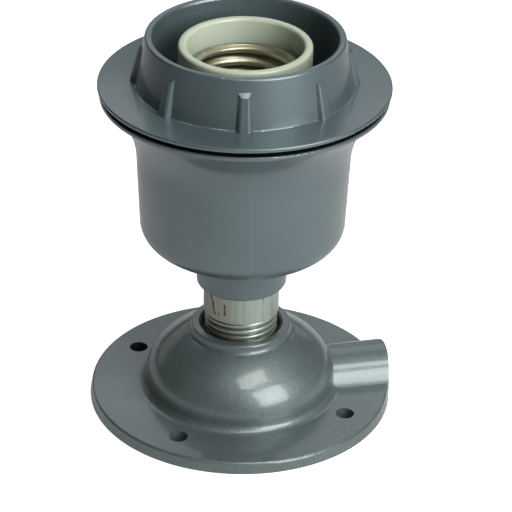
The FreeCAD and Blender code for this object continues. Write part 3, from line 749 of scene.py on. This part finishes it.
@dataclass(frozen=True)
class PolishedMetal(Finish):
    """A bright metal with faint tarnish, used for the shell, the contacts and the screws, with
    painted shade in the shell thread's hollows where a radius for it is given.
    """

    metal: Metal
    tone: Colour
    tarnish: Colour
    roughness: float
    roughness_spread: float = 0.15
    tarnish_share: float = 0.5
    relief: Relief = Relief(fine=3500.0, share=0.4, depth=0.04 * MM)
    patches: Patches = Patches(420.0, 0.4, 0.75)
    painted_shade: Colour = srgb(58, 49, 24)
    painted_shade_radius: float = 0.0
    painted_shade_top: float = 97.6 * MM
    painted_shade_fade: float = 0.6 * MM
    painted_shade_share: float = 0.75

    @property
    def name(self) -> str:
        """The material's name."""
        return self.metal.value

    def painted_shade_mask(self, surface: Surface) -> Socket:
        """Builds the painted shade's mask: the thread's hollows, further from the axis than the
        crests.

        Args:
            surface: The material that is being built.

        Returns:
            The mask's socket.
        """
        graph = surface.graph
        hollow = graph.ramp(graph.radius(surface.place), self.painted_shade_radius,
                            self.painted_shade_radius + self.painted_shade_fade)
        below = graph.ramp(graph.level(surface.place), self.painted_shade_top,
                           self.painted_shade_top - self.painted_shade_fade)
        return graph.times(hollow, below, self.painted_shade_share)

    def shader(self, surface: Surface) -> bpy.types.Node:
        """Builds the metal: tarnish and gloss by patches, and painted shade where a radius for it
        is given.

        Args:
            surface: The material that is being built.

        Returns:
            The shader's node.
        """
        graph = surface.graph
        mask = self.patches.mask(surface)
        colour = graph.mix(graph.times(mask, self.tarnish_share), self.tone, self.tarnish)
        # Painted shade: the thread's hollows in the shell are darkened brown.
        if self.painted_shade_radius:
            colour = graph.mix(self.painted_shade_mask(surface), colour, self.painted_shade)
        roughest = self.roughness + self.roughness_spread
        return graph.node("BsdfPrincipled", Base_Color=colour, Metallic=1.0,
                          Roughness=graph.between(mask, self.roughness, roughest))


# Meshes


def ring_mesh(name: str, points: np.ndarray) -> bpy.types.Mesh:
    """Makes a closed ring-like mesh from a grid that closes on itself both ways.

    Each face joins a grid point to its next neighbours in both directions, with the last row and
    column joined to the first. The faces are turned if the enclosed volume comes out negative.

    Args:
        name: The mesh's name.
        points: Places in metres, as an array of rows by columns by 3.

    Returns:
        The mesh, smooth, with the edges over the sharp angle sharp.
    """
    rows, columns = points.shape[:2]
    row, column = np.meshgrid(np.arange(rows), np.arange(columns), indexing="ij")
    next_row, next_column = (row + 1) % rows, (column + 1) % columns
    faces = np.stack([row * columns + column, next_row * columns + column,
                      next_row * columns + next_column, row * columns + next_column], axis=-1)
    faces = faces.reshape(-1, 4)
    flat = points.reshape(-1, 3)
    corner = flat[faces]
    volume = np.einsum("ij,ij->", corner[:, 0], np.cross(corner[:, 1], corner[:, 2]))
    volume += np.einsum("ij,ij->", corner[:, 0], np.cross(corner[:, 2], corner[:, 3]))
    if volume < 0:
        faces = faces[:, ::-1]
    mesh = bpy.data.meshes.new(name)
    mesh.vertices.add(len(flat))
    mesh.vertices.foreach_set("co", flat.astype(np.float32).ravel())
    mesh.loops.add(faces.size)
    mesh.loops.foreach_set("vertex_index", faces.astype(np.int32).ravel())
    mesh.polygons.add(len(faces))
    mesh.polygons.foreach_set("loop_start", np.arange(0, faces.size, 4, dtype=np.int32))
    mesh.update(calc_edges=True)
    mesh.polygons.foreach_set("use_smooth", np.ones(len(faces), bool))
    mesh.set_sharp_from_angle(angle=SHARP_ANGLE)
    return mesh


def add_piece(name: str, mesh: bpy.types.Mesh, material: bpy.types.Material) -> bpy.types.Object:
    """Puts a mesh into the scene as a piece.

    Args:
        name: The piece's name.
        mesh: Its mesh.
        material: Its only material.

    Returns:
        The new object.
    """
    piece = bpy.data.objects.new(name, mesh)
    bpy.context.scene.collection.objects.link(piece)
    mesh.materials.clear()
    mesh.materials.append(material)
    log.info("%s: %d faces", name, len(mesh.polygons))
    return piece


def eased(start: float, end: float, value: np.ndarray) -> np.ndarray:
    """Rises from 0 at start to 1 at end, level at both: 3 s squared less 2 s cubed."""
    share = np.clip((value - start) / (end - start), 0.0, 1.0)
    return share * share * (3 - 2 * share)


def around(radius: np.ndarray, height: np.ndarray, angle: np.ndarray) -> np.ndarray:
    """Turns radius, height and angle into places: r cos a, r sin a, z."""
    return np.stack([radius * np.cos(angle), radius * np.sin(angle), height], axis=-1)


@dataclass
class ScrewShell:
    """The plated shell with its rolled lamp thread and its two lugs, in millimetres.

    Heights are above the seat's underside, which lies at seat_level. A crest of the thread lies
    there at start_angle. foot_fade is a share of the pitch.
    """

    material: bpy.types.Material
    seat_level: float = 76.0
    height: float = 22.5
    wall: float = 0.4
    pitch: float = 3.629
    arc_radius: float = 1.025
    thread_radius: float = 13.35
    mouth_radius: float = 14.0
    mouth_height: float = 0.3
    mouth_fade: float = 0.6
    foot_height: float = 2.0
    foot_fade: float = 0.4
    seat_radius: float = 11.4
    lug_reach: float = 7.0
    lug_width: float = 6.0
    lug_offset: float = 9.6
    hole_radius: float = 1.6
    start_angle: float = math.radians(-25.9)
    steps_around: int = 180
    steps_along: int = 140
    lug_steps: int = 96

    def wave(self, distance: np.ndarray) -> np.ndarray:
        """Height of the rolled profile: arcs of one radius that bulge out and in by turns.

        Args:
            distance: How far along the axis a point is from a crest.

        Returns:
            The height above the middle of the profile.
        """
        quarter = self.pitch / 4
        base = math.sqrt(self.arc_radius ** 2 - quarter ** 2)
        along = np.mod(distance + quarter, self.pitch) - quarter
        out = np.sqrt(self.arc_radius ** 2 - np.minimum(along, quarter) ** 2) - base
        back = np.clip(along - 2 * quarter, -quarter, quarter)
        inwards = base - np.sqrt(self.arc_radius ** 2 - back ** 2)
        return np.where(along <= quarter, out, inwards)

    def outer_radius(self, angle: np.ndarray, height: np.ndarray) -> np.ndarray:
        """Radius of the outside: middle, plus the wave where it has set in, plus mouth and foot.

        Args:
            angle: Angles in radians.
            height: Heights above the seat's underside.

        Returns:
            The radius at each point.
        """
        swing = self.arc_radius - math.sqrt(self.arc_radius ** 2 - (self.pitch / 4) ** 2)
        middle = self.thread_radius + self.wall - swing
        plain = self.height - self.mouth_height
        mouth = eased(plain - self.mouth_fade, plain, height)
        foot = 1 - eased(self.foot_height, self.foot_height + self.foot_fade * self.pitch, height)
        wave = self.wave(height - self.pitch * (angle - self.start_angle) / TURN)
        return (middle + (1 - mouth - foot) * wave + mouth * (self.mouth_radius - middle)
                - foot * swing)

    def wall_points(self) -> np.ndarray:
        """The wall as a ring: up the inside, over the mouth, down the outside, under the seat.

        Returns:
            Angles by points of the section by 3.
        """
        steps = self.steps_along
        level = np.concatenate([[self.wall], np.linspace(self.wall, self.height, steps),
                                np.linspace(self.height, 0.0, steps), [0.0]])
        inset = np.concatenate([[0.0], np.full(steps, self.wall), np.zeros(steps + 1)])
        angle, level = np.meshgrid(np.linspace(0, TURN, self.steps_around, endpoint=False), level,
                                   indexing="ij")
        radius = self.outer_radius(angle, level) - inset
        radius[:, [0, -1]] = self.seat_radius
        return around(radius, self.seat_level + level, angle)

    def lug_points(self, turned: float) -> np.ndarray:
        """A lug as a ring round its screw hole: the hole's circle, stretched out to the outline.

        The outline is a rectangle, reached along each angle at the nearer of its two sides.

        Args:
            turned: The lug's direction about the axis, in radians.

        Returns:
            Angles by the four corners of the section by 3.
        """
        angle = np.linspace(0, TURN, self.lug_steps, endpoint=False)
        out, side = np.cos(angle), np.sin(angle)
        outer = self.seat_radius + self.wall / 2 - self.lug_offset
        inner = self.lug_offset - self.lug_reach
        length = np.where(out > 0, outer, inner)
        stretch = 1 / np.maximum(np.abs(out) / length, np.abs(side) / (self.lug_width / 2))
        hole = np.full(self.lug_steps, self.hole_radius)
        reach = np.stack([hole, stretch, stretch, hole], axis=1)
        x = self.lug_offset + reach * out[:, None]
        y = reach * side[:, None]
        z = np.broadcast_to(self.seat_level + np.array([self.wall, self.wall, 0.0, 0.0]), x.shape)
        cosine, sine = math.cos(turned), math.sin(turned)
        return np.stack([x * cosine - y * sine, x * sine + y * cosine, z], axis=-1)

    def build(self) -> None:
        """Builds the wall and the two lugs and lets them stand for the plain shell."""
        forms = {"shell_wall": self.wall_points(), "shell_lug_side": self.lug_points(0.0),
                 "shell_lug_back": self.lug_points(TURN / 4)}
        pieces = [add_piece(name, ring_mesh(name, points * MM), self.material)
                  for name, points in forms.items()]
        for piece in pieces:
            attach(piece, "holder")
        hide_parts("screw_shell")


@dataclass
class Nipple:
    """The steel nipple with both of its threads, in millimetres.

    narrowness is the power of a groove's cosine profile. A groove lies at groove_level at
    groove_angle, and lead is the height of the chamfers at the ends.
    """

    material: bpy.types.Material
    bottom: float = 9.0
    top: float = 50.7
    bore: float = 8.2
    crest: float = 9.75
    depth: float = 0.7
    narrowness: int = 3
    pitch: float = 1.814
    barrel: float = 10.15
    barrel_low: float = 26.6
    barrel_high: float = 36.7
    edge: float = 0.25
    groove_level: float = 24.95
    groove_angle: float = math.radians(-103)
    lead: float = 0.8
    steps_around: int = 144
    steps_along: int = 320

    def thread_radius(self, angle: np.ndarray, level: np.ndarray) -> np.ndarray:
        """Radius of a thread with wide round crests: crest less depth times a dip.

        The dip is (1 + cos) / 2 of the place in the pitch, raised to the narrowness.

        Args:
            angle: Angles in radians.
            level: Heights in millimetres.

        Returns:
            The radius at each point.
        """
        along = level - self.groove_level - self.pitch * (angle - self.groove_angle) / TURN
        dip = (0.5 + 0.5 * np.cos(TURN * along / self.pitch)) ** self.narrowness
        return self.crest - self.depth * dip

    def outer_radius(self, angle: np.ndarray, level: np.ndarray) -> np.ndarray:
        """Radius of the outside: thread, plain barrel with eased edges, and chamfered ends.

        Args:
            angle: Angles in radians.
            level: Heights in millimetres.

        Returns:
            The radius at each point.
        """
        radius = self.thread_radius(angle, level)
        low = np.clip((level - self.barrel_low) / self.edge, 0.0, 1.0)
        high = np.clip((self.barrel_high - level) / self.edge, 0.0, 1.0)
        radius = radius + (self.barrel - radius) * np.minimum(low, high)
        end = np.minimum(level - self.bottom, self.top - level)
        chamfer = np.where(end > self.lead, np.inf, self.crest - self.lead + end)
        return np.minimum(radius, chamfer)

    def points(self) -> np.ndarray:
        """The nipple as a ring: up the outside in fine steps, then straight down the bore.

        Returns:
            Angles by points of the section by 3.
        """
        level = np.linspace(self.bottom, self.top, self.steps_along)
        angle, level = np.meshgrid(np.linspace(0, TURN, self.steps_around, endpoint=False),
                                   np.append(level, [self.top, self.bottom]), indexing="ij")
        radius = self.outer_radius(angle, level)
        radius[:, self.steps_along:] = self.bore
        return around(radius, level, angle)

    def build(self) -> None:
        """Builds the threaded nipple and lets it stand for the plain one."""
        mesh = ring_mesh("threaded_nipple", self.points() * MM)
        piece = add_piece("threaded_nipple", mesh, self.material)
        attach(piece, "holder")
        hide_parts("conduit_nipple")


@dataclass
class ContactTongue:
    """The spring tongue: a copy of the strip between its foot and the button, with its loose
    triangles joined.

    Places and the weld's distance are in millimetres.
    """

    material: bpy.types.Material
    bend_start: tuple[float, float, float] = (-3.0, 0.0, 75.4)
    bend_end: tuple[float, float, float] = (-1.9, 0.0, 79.2)
    weld: float = 0.002
    sharp_angle: float = math.radians(30)

    def strip(self) -> bpy.types.Mesh:
        """Copies the strip's mesh and joins its loose triangles.

        Returns:
            The joined mesh.
        """
        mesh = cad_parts["contact_tongue"].data.copy()
        work = bmesh.new()
        work.from_mesh(mesh)
        bmesh.ops.remove_doubles(work, verts=work.verts, dist=self.weld * MM)
        work.to_mesh(mesh)
        work.free()
        mesh.set_sharp_from_angle(angle=self.sharp_angle)
        return mesh

    def build(self) -> None:
        """Builds the joined strip, puts it in place and hides the carried-over one."""
        piece = add_piece("bending_tongue", self.strip(), self.material)
        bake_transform(piece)
        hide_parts("contact_tongue")


@dataclass
class Dresser:
    """Gives every piece that is carried over its finish, each built once."""

    effects: Effects
    made: dict[str, bpy.types.Material] = field(default_factory=dict)

    def finish(self, finish: Finish) -> bpy.types.Material:
        """Builds a finish once.

        Args:
            finish: The finish.

        Returns:
            Its material.
        """
        key = repr(finish)
        if key not in self.made:
            self.made[key] = finish.build(self.effects)
        return self.made[key]

    def dress(self, finish: Finish, *names: str) -> None:
        """Puts a finish on carried-over pieces.

        Args:
            finish: The finish.
            *names: The pieces' names.
        """
        material = self.finish(finish)
        for name in names:
            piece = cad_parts[name]
            if not piece.material_slots:
                piece.data.materials.append(material)
            for slot in piece.material_slots:
                slot.material = material
            log.info("%s wears %s", name, material.name)


# Studio


def direction(azimuth: float, elevation: float) -> Vector:
    """Unit vector from the object: sin a cos e, -cos a cos e, sin e, with a = 0 in front."""
    return Vector((math.sin(azimuth) * math.cos(elevation),
                   -math.cos(azimuth) * math.cos(elevation), math.sin(elevation)))


@dataclass(frozen=True)
class Softbox:
    """A rectangular lamp that faces the object, in degrees, metres and watts."""

    name: str
    azimuth: float
    elevation: float
    distance: float
    size: tuple[float, float]
    power: float
    colour: Colour
    target_height: float = 0.05

    def build(self) -> None:
        """Adds the lamp."""
        data = bpy.data.lights.new(self.name, "AREA")
        data.shape = "RECTANGLE"
        data.size, data.size_y = self.size
        data.energy = self.power
        data.color = self.colour
        lamp = bpy.data.objects.new(self.name, data)
        bpy.context.scene.collection.objects.link(lamp)
        back = direction(math.radians(self.azimuth), math.radians(self.elevation))
        lamp.location = Vector((0, 0, self.target_height)) + back * self.distance
        lamp.rotation_euler = back.to_track_quat("Z", "Y").to_euler()


@dataclass(frozen=True)
class Floor:
    """The pale floor: white from above, clear from below, with painted shade under the plate.

    Lengths are in metres. seen and mirrored are what the camera and the object's reflections
    show of it, near and far.
    """

    half: float = 6.0
    level: float = -0.2 * MM
    hidden_radius: float = 38.5 * MM
    open_radius: float = 40.5 * MM
    near: float = 0.2
    far: float = 0.7
    under_plate_shade: Colour = (0.03, 0.03, 0.03)
    near_tone: Colour = (0.58, 0.58, 0.58)
    far_tone: Colour = (0.2, 0.2, 0.2)
    seen: tuple[float, float] = (0.95, 1.0)
    mirrored: tuple[float, float] = (0.2, 0.05)

    def material(self) -> bpy.types.Material:
        """Builds the floor's material: a diffuse tone and a glow that depends on who looks.

        Returns:
            The material.
        """
        surface = Surface(bpy.data.materials.new("pale_floor"))
        graph = surface.graph
        radius = graph.radius(surface.place)
        far = graph.ramp(radius, self.near, self.far)
        # Painted shade: under the plate the floor is dark and does not glow, so the holes look
        # black.
        free = graph.ramp(radius, self.hidden_radius, self.open_radius)
        tone = graph.mix(free, self.under_plate_shade, graph.mix(far, self.near_tone, self.far_tone))
        path = graph.node("LightPath").outputs
        glow = graph.maths("ADD",
                           graph.times(path["Is Camera Ray"], graph.between(far, *self.seen)),
                           graph.times(path["Is Glossy Ray"], graph.between(far, *self.mirrored)))
        diffuse = graph.node("BsdfDiffuse", Color=tone)
        shining = graph.node("Emission", Color=WHITE, Strength=graph.times(glow, free))
        top = graph.node("AddShader", inputs={0: diffuse.outputs[0], 1: shining.outputs[0]})
        backfacing = graph.node("NewGeometry").outputs["Backfacing"]
        return surface.finish(graph.choose(backfacing, top, graph.node("BsdfTransparent")))

    def build(self) -> None:
        """Adds the floor as one square."""
        mesh = bpy.data.meshes.new("floor")
        corners = [(x * self.half, y * self.half, self.level)
                   for x, y in ((-1, -1), (1, -1), (1, 1), (-1, 1))]
        mesh.from_pydata(corners, [], [(0, 1, 2, 3)])
        floor = add_piece("floor", mesh, self.material())


@dataclass(frozen=True)
class Viewpoint:
    """The camera as it stood for the photograph, in metres and radians.

    The focal length is in pixels of the photograph and the sensor in millimetres.
    """

    focal_pixels: float = 2576.0
    image_pixels: float = 512.0
    sensor: float = 36.0
    distance: float = 0.6875
    azimuth: float = math.radians(-13.0)
    elevation: float = math.radians(29.92)
    roll: float = math.radians(1.17)
    target_right: float = 0.00376
    target_height: float = 0.04237
    clip: tuple[float, float] = (0.01, 20.0)

    def build(self) -> None:
        """Adds the camera and makes it the scene's own."""
        back = direction(self.azimuth, self.elevation)
        right = Vector((math.cos(self.azimuth), math.sin(self.azimuth), 0.0))
        up = back.cross(right)
        across = right * math.cos(self.roll) + up * math.sin(self.roll)
        upright = up * math.cos(self.roll) - right * math.sin(self.roll)
        data = bpy.data.cameras.new("camera")
        data.sensor_width = self.sensor
        data.lens = self.focal_pixels * self.sensor / self.image_pixels
        data.clip_start, data.clip_end = self.clip
        camera = bpy.data.objects.new("camera", data)
        bpy.context.scene.collection.objects.link(camera)
        target = right * self.target_right + Vector((0, 0, self.target_height))
        turn = Matrix((across, upright, back)).transposed().to_4x4()
        camera.matrix_world = Matrix.Translation(target + back * self.distance) @ turn
        bpy.context.scene.camera = camera


@dataclass(frozen=True)
class Studio:
    """Floor, surroundings, lamps and camera."""

    light: Colour = (0.95, 0.98, 1.0)
    light_strength: float = 0.02
    lamps: tuple[Softbox, ...] = (
        Softbox("window", 30.0, 30.0, 1.0, (0.62, 0.7), 11.0, (1.0, 0.98, 0.95)),
        Softbox("overhead", 19.0, 66.5, 1.0, (0.5, 0.24), 3.2, (1.0, 0.97, 0.90)),
        Softbox("top", 75.0, 74.0, 1.2, (0.8, 0.8), 0.8, (0.97, 0.99, 1.0)),
        Softbox("back", 167.0, 44.0, 1.2, (1.5, 0.7), 3.3, (0.97, 0.99, 1.0)),
        Softbox("rim", 180.0, 14.0, 1.3, (2.6, 0.4), 1.6, (1.0, 1.0, 0.97)))

    def surroundings(self) -> None:
        """Lights the scene evenly and shows the camera a white background."""
        world = bpy.data.worlds.new("surroundings")
        world.use_nodes = True
        world.node_tree.nodes.clear()
        graph = Graph(world.node_tree)
        lit = graph.node("Background", Color=self.light, Strength=self.light_strength)
        seen = graph.node("Background", Color=WHITE, Strength=1.0)
        camera_ray = graph.node("LightPath").outputs["Is Camera Ray"]
        choice = graph.choose(camera_ray, lit, seen)
        graph.node("OutputWorld", Surface=choice.outputs[0])
        bpy.context.scene.world = world

    def build(self) -> None:
        """Sets everything up."""
        bpy.context.scene.view_settings.view_transform = "Standard"
        Floor().build()
        self.surroundings()
        for lamp in self.lamps:
            lamp.build()
        Viewpoint().build()


def main() -> None:
    """Dresses the pieces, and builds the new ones."""
    logging.basicConfig(level=logging.INFO, format="%(message)s")
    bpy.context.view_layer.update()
    dresser = Dresser(Effects())
    # The nickel's radius paints shade into the hollows of the shell's thread.
    nickel = PolishedMetal(Metal.PLATED, srgb(196, 195, 174), srgb(146, 141, 108), roughness=0.4,
                           painted_shade_radius=12.65 * MM)
    brass = PolishedMetal(Metal.BARE, srgb(206, 176, 104), srgb(150, 118, 60), roughness=0.28)
    zinc = PolishedMetal(Metal.ZINC, srgb(180, 184, 184), srgb(120, 122, 118), roughness=0.3)
    dresser.dress(CastPaint(), "cast_base")
    dresser.dress(MouldedPlastic(), "holder_cup", "shade_ring")
    dresser.dress(GalvanisedSteel(), "conduit_nipple")
    dresser.dress(BlackRubber(), "ring_gasket")
    dresser.dress(GlazedCeramic(), "ceramic_insert")
    dresser.dress(nickel, "screw_shell", "contact_tongue")
    dresser.dress(brass, "shell_terminal", "contact_terminal", "contact_button")
    dresser.dress(zinc, "shell_screws", "shell_nut", "contact_screw", "terminal_screws",
                  "insert_screws", "insert_washers", "earth_screw", "earth_washer")
    ScrewShell(dresser.finish(nickel)).build()
    Nipple(dresser.finish(GalvanisedSteel())).build()
    ContactTongue(dresser.finish(nickel)).build()
    Studio().build()


if __name__ == "__main__":
    main()
